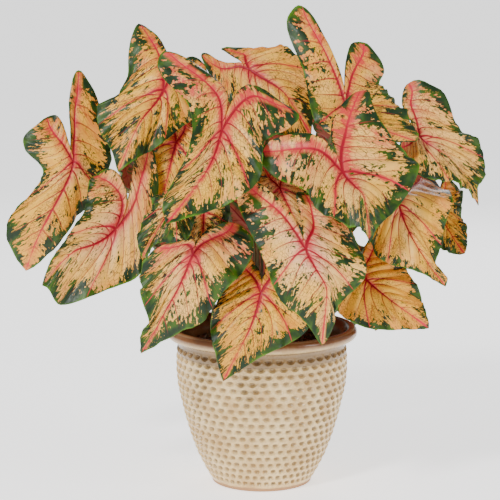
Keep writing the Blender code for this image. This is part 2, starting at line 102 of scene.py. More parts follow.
# Each lamp's place, the point it looks at, its diameter and its power in watts.
LAMPS = {
    "key": ((-1.1, -1.9, 1.9), (0, 0, 0.3), 0.45, 62),
    "side": ((1.8, -0.9, 0.9), (0, 0, 0.25), 0.8, 10),
    "back": ((0.3, 1.9, 1.3), (0, 0, 0.3), 1.0, 16),
}


def make_floor():
    bpy.ops.mesh.primitive_plane_add(size=FLOOR_SIZE, location=(0, 0, -FLOOR_DROP))
    floor = bpy.context.object
    floor.name = "floor"
    paint = bpy.data.materials.new("floor_paper")
    paint.use_nodes = True
    shader = paint.node_tree.nodes["Principled BSDF"]
    shader.inputs["Base Color"].default_value = (0.93, 0.93, 0.93, 1)
    shader.inputs["Roughness"].default_value = 0.9
    shader.inputs["Emission Color"].default_value = (1.0, 1.0, 1.0, 1)
    shader.inputs["Emission Strength"].default_value = FLOOR_GLOW
    floor.data.materials.append(paint)


def make_light(name, place, aim, size, power):
    lamp = bpy.data.lights.new(name, "AREA")
    lamp.shape = "DISK"
    lamp.size = size
    lamp.energy = power
    light = bpy.data.objects.new(name, lamp)
    light.location = place
    light.rotation_euler = (Vector(aim) - Vector(place)).to_track_quat("-Z", "Y").to_euler()
    bpy.context.scene.collection.objects.link(light)


def make_world(strength):
    world = bpy.data.worlds.new("studio")
    world.use_nodes = True
    sky = world.node_tree.nodes["Background"]
    sky.inputs["Color"].default_value = (1.0, 1.0, 1.0, 1)
    sky.inputs["Strength"].default_value = strength
    bpy.context.scene.world = world


make_floor()
make_world(WORLD_STRENGTH)
for lamp_name, reading in LAMPS.items():
    make_light(lamp_name, *reading)
print("a floor, a world and", len(LAMPS), "lamps")

# %% [markdown]
# A shader is arithmetic on surfaces. Wrapping a socket in a small class lets that arithmetic be written as
# Python: each operator adds one Math node. Every other node comes from one method, which sets the node's
# settings first and then its sockets.

# %% Shader maths
def linear(red, green, blue):
    """A colour as seen on a screen, turned into the linear values that shaders use."""
    def one(level):
        return level / 12.92 if level <= 0.04045 else ((level + 0.055) / 1.055) ** 2.4
    return (one(red), one(green), one(blue), 1.0)


class Wire:
    """One output of a node tree, with operators for shader maths."""

    def __init__(self, tree, socket):
        self.tree = tree
        self.socket = socket

    def node(self, kind, settings, values, output=0):
        """Add a node: its type, its settings, what its sockets take, and the output that is wanted."""
        made = self.tree.nodes.new(kind)
        for setting, value in settings.items():
            setattr(made, setting, value)
        for name, value in values.items():
            if isinstance(value, Wire):
                self.tree.links.new(value.socket, made.inputs[name])
            else:
                made.inputs[name].default_value = value
        return Wire(self.tree, made.outputs[output])

    def math(self, operation, *values):
        return self.node("ShaderNodeMath", {"operation": operation}, dict(enumerate(values)))

    def __add__(self, other):
        return self.math("ADD", self, other)

    def __radd__(self, other):
        return self.math("ADD", other, self)

    def __sub__(self, other):
        return self.math("SUBTRACT", self, other)

    def __rsub__(self, other):
        return self.math("SUBTRACT", other, self)

    def __mul__(self, other):
        return self.math("MULTIPLY", self, other)

    def __rmul__(self, other):
        return self.math("MULTIPLY", other, self)

    def __truediv__(self, other):
        return self.math("DIVIDE", self, other)

    def __pow__(self, other):
        return self.math("POWER", self, other)

    def __abs__(self):
        return self.math("ABSOLUTE", self)

    def least(self, other):
        return self.math("MINIMUM", self, other)

    def most(self, other):
        return self.math("MAXIMUM", self, other)

    def remainder(self):
        return self.math("FRACT", self)

    def root(self):
        return self.math("SQRT", self)

    def step(self, low, high, start=0.0, end=1.0):
        """A soft step from start to end as the value goes from low to high."""
        return self.node("ShaderNodeMapRange", {"interpolation_type": "SMOOTHSTEP"},
                         {"Value": self, "From Min": low, "From Max": high, "To Min": start, "To Max": end})

    def part(self, axis):
        return self.node("ShaderNodeSeparateXYZ", {}, {0: self}, axis)

    def join(self, second, third):
        return self.node("ShaderNodeCombineXYZ", {}, {0: self, 1: second, 2: third})

    def noise(self, scale, detail=2.0, rough=0.5):
        """Noise between 0 and 1 over a vector."""
        return self.node("ShaderNodeTexNoise", {}, {"Vector": self, "Scale": scale, "Detail": detail,
                                                   "Roughness": rough})

    def blend(self, first, second):
        """A colour that goes from first to second as this value goes from 0 to 1."""
        return self.node("ShaderNodeMix", {"data_type": "RGBA"}, {0: self, 6: first, 7: second}, 2)


def start_finish(name, roughness, gloss=0.5):
    """A new material: its Principled shader, and a first wire to write its maths from."""
    material = bpy.data.materials.new(name)
    material.use_nodes = True
    shader = material.node_tree.nodes["Principled BSDF"]
    shader.inputs["Roughness"].default_value = roughness
    shader.inputs["Specular IOR Level"].default_value = gloss
    wire = Wire(material.node_tree, None)
    return material, shader, wire


def connect(wire, shader, socket):
    wire.tree.links.new(wire.socket, shader.inputs[socket])


def object_place(wire):
    return wire.node("ShaderNodeTexCoord", {}, {}, "Object")


def attribute(wire, name):
    return wire.node("ShaderNodeAttribute", {"attribute_name": name}, {}, "Vector")


def add_bump(wire, height, strength, distance, shader):
    bump = wire.node("ShaderNodeBump", {}, {"Height": height, "Strength": strength, "Distance": distance})
    connect(bump, shader, "Normal")


print("half grey on a screen is", round(linear(0.5, 0.5, 0.5)[0], 3), "in a shader")

# %% [markdown]
# Every leaf was read in the photograph: where its hub, tip, sides and two basal lobes are, and how far in
# front of the pot's axis each lies. The leaves that the photograph hides follow a rule instead: a direction
# round the pot, a distance, a height and how far the blade hangs. The solids came from these same values.

# %% Leaf readings
# The ruffle of a blade: its waves round the leaf, their height, how they grow toward the margin, and a
# second, finer set of waves on top of the first.
WAVE_COUNT = 7
WAVE_HEIGHT = 0.0032
WAVE_GROWTH = 2.2
SECOND_WAVE = 0.45
SECOND_WAVE_COUNT = 1.7 * WAVE_COUNT
SECOND_WAVE_PHASE = 2.3

# Half of the flat leaf's outline: angle from the tip in degrees, and distance from the hub as a share
# of the distance from hub to tip. The last angle is the notch between the two basal lobes.
OUTLINE_ANGLES = (0, 12, 30, 50, 70, 90, 110, 130, 146, 158, 167, 174, 180)
OUTLINE_REACH = (1.0, 0.87, 0.71, 0.60, 0.54, 0.51, 0.53, 0.64, 0.79, 0.85, 0.66, 0.34, 0.13)

# Where each named place lies on the flat leaf, seen from above with the tip down: (right, toward tip).
PLACES = {
    "hub": (0.0, 0.0), "mid": (0.0, 0.5), "tip": (0.0, 1.0), "notch": (0.0, -0.13),
    "left_low": (-0.44, 0.40), "right_low": (0.44, 0.40),
    "left_side": (-0.51, 0.0), "right_side": (0.51, 0.0),
    "left_shoulder": (-0.50, -0.38), "right_shoulder": (0.50, -0.38),
    "left_outer": (-0.46, -0.60), "right_outer": (0.46, -0.60),
    "left_lobe": (-0.35, -0.77), "right_lobe": (0.35, -0.77),
    "left_inner": (-0.12, -0.45), "right_inner": (0.12, -0.45),
}

# Each leaf read in the view, with one reading for each place above and in that order: pixel across, pixel
# down, and millimetres toward the viewer from the axis.
LEAVES = {
    "top_right": (
        (346, 104, 50), (376, 127, 72), (415, 142, 62), (345, 88, 42), (336, 138, 82), (407, 118, 48),
        (309, 104, 60), (394, 98, 32), (302, 66, 34), (381, 83, 20), (286, 24, 10), (385, 66, 6),
        (300, 8, 2), (364, 46, 2), (330, 50, 20), (350, 64, 24)),
    "centre_right": (
        (343, 172, 120), (364, 195, 146), (371, 243, 160), (335, 155, 112), (350, 224, 164),
        (392, 212, 140), (318, 209, 160), (419, 166, 104), (301, 190, 150), (393, 138, 90),
        (274, 174, 126), (372, 108, 76), (258, 153, 110), (364, 89, 68), (312, 140, 112), (338, 130, 94)),
    "centre": (
        (222, 130, 120), (202, 178, 156), (166, 225, 182), (226, 115, 111), (171, 186, 168),
        (232, 200, 160), (188, 152, 150), (262, 173, 136), (186, 100, 104), (266, 140, 116),
        (160, 74, 68), (286, 129, 98), (167, 54, 58), (296, 115, 88), (217, 84, 90), (249, 89, 89)),
    "upper_left": (
        (164, 90, 40), (140, 122, 64), (118, 172, 76), (168, 72, 30), (104, 136, 62), (150, 150, 64),
        (99, 108, 42), (180, 128, 52), (126, 80, 20), (206, 112, 38), (130, 46, 2), (212, 90, 20),
        (140, 25, -10), (204, 66, 4), (164, 50, 8), (182, 68, 14)),
    "far_left": (
        (74, 161, 20), (47, 220, 32), (26, 271, 14), (70, 150, 14), (12, 214, 26), (82, 212, 14),
        (44, 176, 22), (108, 178, -4), (24, 150, 16), (110, 145, -10), (26, 134, 10), (98, 98, -14),
        (46, 119, 6), (80, 72, -18), (64, 134, 10), (70, 108, -4)),
    "lower_left": (
        (116, 229, 72), (76, 250, 98), (42, 285, 110), (126, 210, 64), (60, 248, 100), (62, 303, 112),
        (78, 221, 82), (110, 288, 98), (86, 198, 64), (147, 264, 84), (89, 184, 54), (158, 186, 62),
        (94, 175, 46), (150, 143, 52), (118, 182, 52), (135, 178, 58)),
    "small_front_left": (
        (172, 206, 140), (158, 228, 152), (141, 257, 158), (174, 200, 136), (138, 232, 150),
        (164, 241, 158), (150, 212, 140), (186, 240, 154), (152, 200, 132), (194, 224, 146),
        (158, 194, 126), (196, 210, 138), (164, 190, 122), (190, 198, 130), (171, 194, 128),
        (180, 198, 130)),
    "lower_centre_left": (
        (193, 254, 138), (167, 308, 144), (141, 353, 138), (196, 244, 134), (150, 320, 146),
        (199, 322, 134), (140, 292, 148), (222, 294, 130), (140, 278, 154), (246, 270, 126),
        (144, 262, 158), (254, 244, 120), (154, 250, 156), (236, 224, 116), (182, 242, 146),
        (210, 233, 124)),
    "bottom_centre": (
        (261, 293, 104), (247, 335, 116), (223, 381, 122), (262, 282, 100), (214, 344, 120),
        (268, 352, 120), (212, 314, 112), (309, 328, 112), (220, 293, 104), (300, 304, 102),
        (226, 276, 98), (298, 288, 96), (240, 260, 92), (290, 266, 90), (254, 268, 92), (270, 266, 92)),
    "front_right": (
        (306, 249, 152), (327, 288, 164), (322, 346, 162), (303, 236, 146), (284, 302, 162),
        (338, 302, 160), (266, 266, 152), (366, 276, 148), (249, 232, 142), (357, 240, 134),
        (238, 203, 132), (334, 204, 122), (239, 180, 124), (306, 194, 114), (284, 208, 134),
        (306, 216, 126)),
    "lower_right": (
        (367, 280, 82), (396, 304, 96), (429, 328, 104), (360, 274, 78), (392, 329, 104), (421, 298, 90),
        (350, 322, 100), (409, 273, 80), (334, 303, 94), (402, 254, 70), (330, 284, 86), (392, 243, 64),
        (336, 264, 78), (378, 234, 60), (350, 262, 74), (366, 254, 68)),
    "right": (
        (399, 204, 94), (424, 256, 114), (447, 285, 122), (400, 196, 88), (404, 266, 118),
        (436, 262, 110), (376, 256, 112), (445, 229, 90), (371, 234, 100), (453, 202, 72), (378, 216, 88),
        (444, 186, 34), (384, 192, 72), (426, 170, 16), (394, 188, 76), (408, 182, 48)),
    "upper_right": (
        (420, 137, 24), (452, 160, 38), (479, 205, 42), (416, 126, 18), (462, 184, 70), (484, 172, 30),
        (434, 178, 72), (478, 141, 16), (410, 178, 62), (456, 122, 8), (402, 166, 52), (442, 91, -4),
        (400, 150, 42), (412, 82, -10), (412, 134, 24), (405, 104, 2)),
    "small_right": (
        (438, 206, 12), (450, 232, 30), (464, 254, 44), (437, 198, 8), (440, 248, 42), (467, 236, 28),
        (430, 228, 30), (462, 213, 12), (424, 208, 16), (463, 192, 0), (422, 196, 8), (456, 182, -6),
        (428, 186, 2), (446, 178, -8), (434, 190, 4), (441, 190, 2)),
    "top_centre": (
        (249, 69, 0), (284, 92, 14), (311, 136, 24), (242, 62, -6), (278, 134, 30), (312, 86, 2),
        (250, 118, 26), (296, 54, -10), (228, 100, 14), (272, 44, -16), (214, 84, 4), (250, 49, -18),
        (202, 58, -12), (226, 48, -18), (224, 64, -11), (238, 56, -14)),
    "inner_left": (
        (176, 142, 40), (168, 174, 44), (158, 214, 46), (178, 134, 36), (142, 172, 34), (188, 190, 50),
        (144, 142, 26), (204, 166, 52), (148, 116, 18), (208, 144, 46), (152, 104, 18), (204, 126, 44),
        (162, 98, 16), (192, 108, 34), (172, 116, 30), (182, 120, 36)),
    "inner_centre": (
        (280, 188, 98), (290, 208, 106), (298, 236, 112), (278, 182, 94), (268, 218, 108),
        (312, 218, 104), (256, 202, 102), (308, 196, 96), (252, 184, 94), (304, 176, 86), (256, 172, 88),
        (298, 164, 80), (264, 166, 84), (288, 160, 78), (273, 176, 88), (281, 174, 86)),
    "inner_low": (
        (204, 212, 96), (203, 232, 104), (201, 262, 108), (205, 206, 92), (186, 232, 98), (222, 234, 102),
        (180, 212, 90), (230, 212, 96), (180, 194, 82), (230, 194, 88), (184, 184, 78), (226, 184, 84),
        (190, 178, 74), (220, 176, 78), (200, 192, 82), (209, 192, 82)),
}

# Leaves that the view hides, on the plant's far side: degrees round Z from +X, millimetres from the axis
# and above the foot for the hub, length from hub to tip, and degrees that the blade hangs below level.
BACK_LEAVES = {
    "back_low_right": dict(around=8, out=112, up=236, length=84, hang=52),
    "back_low_far_right": dict(around=46, out=122, up=240, length=96, hang=52),
    "back_low_middle": dict(around=84, out=98, up=236, length=98, hang=52),
    "back_low_far_left": dict(around=129, out=122, up=230, length=84, hang=56),
    "back_low_left": dict(around=164, out=98, up=222, length=78, hang=50),
    "back_high_right": dict(around=20, out=114, up=340, length=104, hang=56),
    "back_high_middle": dict(around=60, out=142, up=318, length=96, hang=58),
    "back_high_left": dict(around=100, out=110, up=334, length=104, hang=56),
    "back_high_far_left": dict(around=137, out=138, up=322, length=104, hang=54),
    "back_upper_left": dict(around=168, out=146, up=380, length=76, hang=66),
    "back_crown": dict(around=84, out=88, up=412, length=72, hang=42),
}

# How the hidden leaves differ from one another and how their blades droop: the hang grows toward the tip
# and eases toward the lobes, and the sides fall away from the midrib.
BACK_ROLL = 14
BACK_LEAN = 0.12
BACK_STIR = 0.02
TIP_DROOP = 24
LOBE_RISE = 14
SIDE_FALL = 0.42

print(len(LEAVES), "leaves read in the view and", len(BACK_LEAVES), "behind it")

# %% [markdown]
# A blade is a flat leaf carried into space by a smooth map. The map bends like a thin plate and passes by
# the named places, so one flat outline makes every leaf, and neighbouring parts of a blade stay together.

# %% From the flat leaf to space
def from_view(pixel_across, pixel_down, toward_mm):
    """The point at a pixel of the view, the given distance in front of the pot's axis."""
    across = (pixel_across - VIEW_CENTRE) / VIEW_FOCAL
    rise = (VIEW_CENTRE - pixel_down) / VIEW_FOCAL
    forward = math.cos(VIEW_PITCH) + rise * math.sin(VIEW_PITCH)
    upward = -math.sin(VIEW_PITCH) + rise * math.cos(VIEW_PITCH)
    reach = (-toward_mm * MM - VIEW_EYE.y) / forward
    return VIEW_EYE + reach * Vector((across, forward, upward))


def back_leaf_points(leaf, seed):
    """The named places of a leaf that hangs outward from its hub, with its lobes standing up."""
    turn = math.radians(leaf["around"])
    outward = Vector((math.cos(turn), math.sin(turn), 0.0))
    sideways = Vector((0.0, 0.0, 1.0)).cross(outward)
    hub = outward * leaf["out"] * MM + Vector((0.0, 0.0, leaf["up"] * MM))
    draw = random.Random(seed)
    roll = math.radians(draw.uniform(-BACK_ROLL, BACK_ROLL))
    lean = draw.uniform(-BACK_LEAN, BACK_LEAN)
    points = {}
    for place, (right, down) in PLACES.items():
        across = right * math.cos(roll) - down * math.sin(roll)
        along = right * math.sin(roll) + down * math.cos(roll)
        droop = TIP_DROOP * along if along > 0 else -LOBE_RISE * along
        hang = math.radians(leaf["hang"] + droop)
        step = outward * math.cos(hang) * along - Vector((0, 0, 1)) * math.sin(hang) * along
        fall = outward * (lean * across - SIDE_FALL * across * across)
        stir = Vector([draw.uniform(-BACK_STIR, BACK_STIR) for _ in range(3)])
        points[place] = hub + leaf["length"] * MM * (step + sideways * across + fall + stir)
    return points


def leaf_points(name, seed):
    if name in LEAVES:
        return {place: from_view(*reading) for place, reading in zip(PLACES, LEAVES[name])}
    return back_leaf_points(BACK_LEAVES[name], seed)


def spread(distance):
    """The bending function of a thin plate, at an array of distances."""
    safe = np.maximum(distance, 1e-9)
    return safe * safe * np.log(safe)


class LeafForm:
    """A smooth map from the flat leaf to space that passes by the leaf's named places."""

    STIFFNESS = 0.004
    PROBE = 0.01

    def __init__(self, points):
        self.flat = np.array([PLACES[place] for place in points])
        space = np.array([tuple(point) for point in points.values()])
        count = len(self.flat)
        bend = spread(np.linalg.norm(self.flat[:, None] - self.flat[None], axis=2))
        bend += self.STIFFNESS * np.eye(count)
        plane = np.hstack([np.ones((count, 1)), self.flat])
        system = np.block([[bend, plane], [plane.T, np.zeros((3, 3))]])
        self.weights = np.linalg.solve(system, np.vstack([space, np.zeros((3, 3))]))

    def at(self, flat):
        bend = spread(np.linalg.norm(flat[:, None] - self.flat[None], axis=2))
        return np.hstack([bend, np.ones((len(flat), 1)), flat]) @ self.weights

    def upward(self, flat):
        """The unit normals of the leaf's upper face."""
        right = self.at(flat + (self.PROBE, 0)) - self.at(flat - (self.PROBE, 0))
        down = self.at(flat + (0, self.PROBE)) - self.at(flat - (0, self.PROBE))
        normal = np.cross(down, right)
        return normal / np.linalg.norm(normal, axis=1)[:, None]


def worst_miss(points):
    """The farthest that a form passes from one of its own named places, in millimetres."""
    form = LeafForm(points)
    away = form.at(form.flat) - np.array([tuple(point) for point in points.values()])
    return float(np.linalg.norm(away, axis=1).max()) / MM


print("the centre leaf passes by its readings within %.1f mm" % worst_miss(leaf_points("centre", 0)))

# %% [markdown]
# The outline is a cubic through a few distances from the hub, one for each direction. The veins follow
# rules too. The midrib, two basal veins and two side veins start at the hub, and the rest leave them at a
# steady pitch. The same rules puff the blade up a little between its veins and draw them in its finish.

# %% Outline, veins and ruffle
# The outline's slope beside the tip, as a share of the next slope.
TIP_SLOPE = 0.9

# The frill at the margin: its height, how fast it grows, and each set's waves, phase and height.
FRILL_HEIGHT = 0.0013
FRILL_GROWTH = 7
FRILLS = ((23, 3.1, 1.0), (37, 1.3, 0.6))

# Directions of the basal and side veins on the right half of the flat leaf, the pitch of the finer veins
# toward the tip and in the lobes, and how these slant and bow away from the midrib.
BASAL = (0.39, -0.92)
SIDE = (0.93, 0.36)
LATERAL_PITCH = 0.165
LOBE_PITCH = 0.15
LATERAL_SLANT = 0.45
LATERAL_BOW = 0.55
LOBE_SLANT = 0.5

# The quilting: its height, and the depth and width of the groove along the main veins.
PUFF_HEIGHT = 0.0019
GROOVE_DEPTH = 0.0012
GROOVE_WIDTH = 0.022


def outline_reach(angle):
    """Distance from hub to margin in the direction that makes this angle with the tip."""
    known = np.array(OUTLINE_ANGLES, dtype=float)
    reach = np.array(OUTLINE_REACH)
    slope = np.gradient(reach, known)
    slope[0] = slope[1] * TIP_SLOPE
    degrees = np.abs(np.degrees(angle))
    cell = np.clip(np.searchsorted(known, degrees, side="right") - 1, 0, len(known) - 2)
    width = known[cell + 1] - known[cell]
    t = (degrees - known[cell]) / width
    one, other = reach[cell], reach[cell + 1]
    rise, fall = slope[cell] * width, slope[cell + 1] * width
    return ((2 * t ** 3 - 3 * t ** 2 + 1) * one + (t ** 3 - 2 * t ** 2 + t) * rise
            + (3 * t ** 2 - 2 * t ** 3) * other + (t ** 3 - t ** 2) * fall)


def margin_wave(angle, share, phase):
    """Height of the ruffle, which grows toward the margin, and of the small frill at its edge."""
    second = np.sin(SECOND_WAVE_COUNT * angle + SECOND_WAVE_PHASE * phase)
    ripple = np.sin(WAVE_COUNT * angle + phase) + SECOND_WAVE * second
    frill = sum(height * np.sin(count * angle + shift * phase) for count, shift, height in FRILLS)
    return WAVE_HEIGHT * share ** WAVE_GROWTH * ripple + FRILL_HEIGHT * share ** FRILL_GROWTH * frill


def puff_between_veins(flat, share):
    """Height of the quilted bulges, zero along the veins and at the margin."""
    side = np.abs(flat[:, 0])
    down = flat[:, 1]
    lateral = down - LATERAL_SLANT * side - LATERAL_BOW * side ** 2
    along = side * BASAL[0] + down * BASAL[1]
    across = side * -BASAL[1] + down * BASAL[0]
    lobe = along - LOBE_SLANT * np.abs(across)
    front = np.clip((lateral - 0.03) / 0.06, 0, 1)
    wave = (front * np.abs(np.sin(np.pi * (lateral / LATERAL_PITCH - 0.5)))
            + (1 - front) * np.abs(np.sin(np.pi * (lobe / LOBE_PITCH - 0.5))))
    near_main = np.minimum(np.hypot(side, np.minimum(down, 0)), np.hypot(across, np.minimum(along, 0)))
    keep = np.clip(near_main / 0.09, 0, 1) * np.clip((1 - share) / 0.15, 0, 1)
    groove = -GROOVE_DEPTH * np.exp(-(near_main / GROOVE_WIDTH) ** 2)
    return PUFF_HEIGHT * wave * keep + groove


print("the outline reaches from", min(OUTLINE_REACH), "to", max(OUTLINE_REACH), "of the hub-to-tip length")

# %% [markdown]
# One blade is a grid of spokes and rings folded into a fan round the hub and closed at the notch. Solidify
# gives it the thickness of a real leaf, with a second finish on its underside. What the shader needs to
# know travels with the corners: the place on the flat leaf and the leaf's own tints.

# %% Blade meshes
SPOKES = 112
RINGS = 24
SPOKE_CROWDING = 0.12
RING_CROWDING = 1.4
BLADE_THICKNESS = 0.0008
MERGE_DISTANCE = 1e-6
PHASE_SEED = 100
TINT_STEP = 0.137


def flat_leaf(spokes, rings):
    """A grid bent into a fan round the hub, with its seam closed, split into triangles."""
    mesh = bmesh.new()
    bmesh.ops.create_grid(mesh, x_segments=spokes, y_segments=rings, size=1.0)
    place = np.array([vert.co for vert in mesh.verts])
    angle = math.pi * (place[:, 0] + SPOKE_CROWDING * np.sin(math.pi * place[:, 0]))
    reach = outline_reach(angle) * (1.0 - (0.5 - 0.5 * place[:, 1]) ** RING_CROWDING)
    for vert, one, turn in zip(mesh.verts, reach, angle):
        vert.co = Vector((one * math.sin(turn), one * math.cos(turn), 0.0))
    bmesh.ops.remove_doubles(mesh, verts=mesh.verts, dist=MERGE_DISTANCE)
    bmesh.ops.triangulate(mesh, faces=mesh.faces, quad_method="BEAUTY")
    return mesh


def shape_leaf(mesh, form, phase):
    """Carry the fan into space; returns each corner's place on the flat leaf."""
    flat = np.array([vert.co[:2] for vert in mesh.verts])
    angle = np.arctan2(flat[:, 0], flat[:, 1])
    share = np.minimum(np.hypot(flat[:, 0], flat[:, 1]) / outline_reach(angle), 1.0)
    rise = margin_wave(angle, share, phase) + puff_between_veins(flat, share)
    upward = form.upward(flat)
    space = form.at(flat) + upward * rise[:, None]
    for vert, place in zip(mesh.verts, space):
        vert.co = Vector(place)
    mesh.normal_update()
    facing = sum(vert.normal.dot(Vector(up)) for vert, up in zip(mesh.verts, upward))
    if facing < 0:
        bmesh.ops.reverse_faces(mesh, faces=mesh.faces)
    return np.column_stack([flat, share])


def mesh_data(name, mesh):
    """Turn a bmesh into mesh data, and let go of it."""
    data = bpy.data.meshes.new(name)
    mesh.to_mesh(data)
    mesh.free()
    return data


def add_object(name, data, *finishes):
    """Put mesh data into the scene as an object, with its finishes."""
    for finish in finishes:
        data.materials.append(finish)
    made = bpy.data.objects.new(name, data)
    bpy.context.scene.collection.objects.link(made)
    return made


def carry(data, name, values):
    """Store three numbers on each corner of a mesh."""
    layer = data.attributes.new(name, "FLOAT_VECTOR", "POINT")
    layer.data.foreach_set("vector", np.asarray(values, dtype=np.float32).ravel())


def make_blade(name, seed, finishes):
    form = LeafForm(leaf_points(name, seed))
    phase = random.Random(PHASE_SEED + seed).uniform(0, 2 * math.pi)
    mesh = flat_leaf(SPOKES, RINGS)
    place = shape_leaf(mesh, form, phase)
    data = mesh_data(name + "_leaf", mesh)
    data.shade_smooth()
    pink, green, warm, pale = TINTS[name]
    count = len(data.vertices)
    carry(data, "place", place)
    carry(data, "tint", np.tile((pink, green, TINT_STEP * seed), (count, 1)))
    carry(data, "cast", np.tile((warm, pale, 0.0), (count, 1)))
    leaf = add_object(name + "_leaf", data, *finishes)
    skin = leaf.modifiers.new("thickness", "SOLIDIFY")
    skin.thickness = BLADE_THICKNESS
    skin.offset = -1.0
    skin.material_offset = 1
    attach(leaf, "root")
    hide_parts(name + "_blade")


print("each blade is", SPOKES, "spokes by", RINGS, "rings,", BLADE_THICKNESS / MM, "mm thick")

# %% [markdown]
# A caladium leaf is painted by growth: crimson veins, a pink wash beside them, cream and peach panels
# crossed by a fine net, and green that fills the margin and runs inward in flecks between the side veins.
# Each of these is a mask made from the place on the leaf, so the drawing stays sharp at any size.

# %% Leaf finish
CRIMSON = linear(0.60, 0.02, 0.13)
ROSE = linear(0.80, 0.14, 0.22)
CREAM = linear(0.97, 0.76, 0.40)
YELLOW = linear(0.96, 0.72, 0.20)
PEACH = linear(0.84, 0.46, 0.17)
PALE = linear(0.95, 0.72, 0.58)
NET = linear(0.42, 0.17, 0.07)
DARK_GREEN = linear(0.07, 0.17, 0.06)
LEAF_GREEN = linear(0.22, 0.34, 0.04)
EDGE_GREEN = linear(0.30, 0.46, 0.03)
UNDER_GREEN = linear(0.30, 0.39, 0.14)
UNDER_PINK = linear(0.72, 0.36, 0.26)
CROSS_PITCH = 0.031


def leaf_map(wire):
    """The place on the flat leaf with a slight wander, and the distances that the veins follow."""
    place = attribute(wire, "place")
    tint = attribute(wire, "tint")
    seed = tint.part(2)
    across, down, share = place.part(0), place.part(1), place.part(2)
    drift = across.join(down, seed).noise(2.6, 1.0)
    side = (abs(across) + (drift - 0.5) * 0.05 * share).most(0.0)
    down = down + (across.join(down, seed + 7.0).noise(2.2, 1.0) - 0.5) * 0.07 * share
    along = side * BASAL[0] + down * BASAL[1]
    off = side * -BASAL[1] + down * BASAL[0]
    side_along = side * SIDE[0] + down * SIDE[1]
    side_off = side * SIDE[1] - down * SIDE[0]
    lateral = down - side * LATERAL_SLANT - side * side * LATERAL_BOW
    return {
        "across": across, "down": down, "share": share, "side": side, "seed": seed,
        "pink": tint.part(0), "green": tint.part(1), "along": along, "off": off,
        "midrib": (side * side + down.least(0.0) ** 2).root(),
        "basal": (off * off + along.least(0.0) ** 2).root(),
        "side_vein": (side_off * side_off + side_along.least(0.0) ** 2).root(),
        "side_along": side_along, "lateral": lateral, "lobe": along - abs(off) * LOBE_SLANT,
        "front": lateral.step(0.02, 0.06),
    }


def taper(distance, start, along, slope, least):
    """1 on a vein that starts at a width and thins with the distance along it."""
    width = (start - along * slope).most(least)
    return (distance / width).step(0.45, 1.15, 1.0, 0.0)


def main_veins(leaf):
    """1 on the five veins that start at the hub, which thin toward the margin."""
    mid = taper(leaf["midrib"], 0.022, leaf["down"], 0.014, 0.005)
    basal = taper(leaf["basal"], 0.018, leaf["along"], 0.014, 0.004)
    aside = taper(leaf["side_vein"], 0.014, leaf["side_along"], 0.018, 0.004)
    return mid.most(basal).most(aside)


def ribs(line, pitch, width):
    """1 on thin lines at a steady pitch of a value."""
    away = abs(((line / pitch).remainder() - 0.5)) * pitch
    return (away / width).step(0.5, 1.2, 1.0, 0.0)


def side_veins(leaf):
    width = (0.0100 - leaf["side"] * 0.013).most(0.0030)
    lateral = ribs(leaf["lateral"] + 10 * LATERAL_PITCH, LATERAL_PITCH, width) * leaf["front"]
    lobe_width = (0.0085 - abs(leaf["off"]) * 0.013).most(0.0028)
    lobe = ribs(leaf["lobe"] + 10 * LOBE_PITCH, LOBE_PITCH, lobe_width) * (1.0 - leaf["front"])
    return lateral.most(lobe) * leaf["share"].step(0.70, 0.97, 1.0, 0.0)


def green_mask(leaf):
    """1 where the leaf is green: blotches that crowd toward the margin, and flecks between the veins."""
    front = (leaf["side"] * 21.0).join(leaf["lateral"] * 29.0, leaf["seed"] * 3.0)
    back = (abs(leaf["off"]) * 21.0).join(leaf["lobe"] * 29.0, leaf["seed"] * 3.0 + 5.0)
    streak = front.noise(1.0, 3.0, 0.6) * leaf["front"] + back.noise(1.0, 3.0, 0.6) * (1.0 - leaf["front"])
    patch = leaf["across"].join(leaf["down"], leaf["seed"] + 2.0).noise(5.0, 2.0)
    reach = leaf["share"] ** 3.0 * 0.36 + (patch - 0.5) * 0.85 + (leaf["green"] - 0.5) * 0.40
    fleck = (streak + reach).step(0.705, 0.73)
    margin = (leaf["share"] + (patch - 0.5) * 0.24).step(0.965, 0.975)
    near = leaf["midrib"].least(leaf["basal"])
    fine = (leaf["side"] * 26.0).join(leaf["lateral"] * 42.0, leaf["seed"] + 9.0).noise(1.0, 2.0)
    spots = (fine + (patch - 0.5) * 0.5 + (leaf["green"] - 0.5) * 0.25).step(0.635, 0.66)
    return (fleck.most(spots * leaf["share"].step(0.15, 0.35)) * near.step(0.02, 0.06)).most(margin)


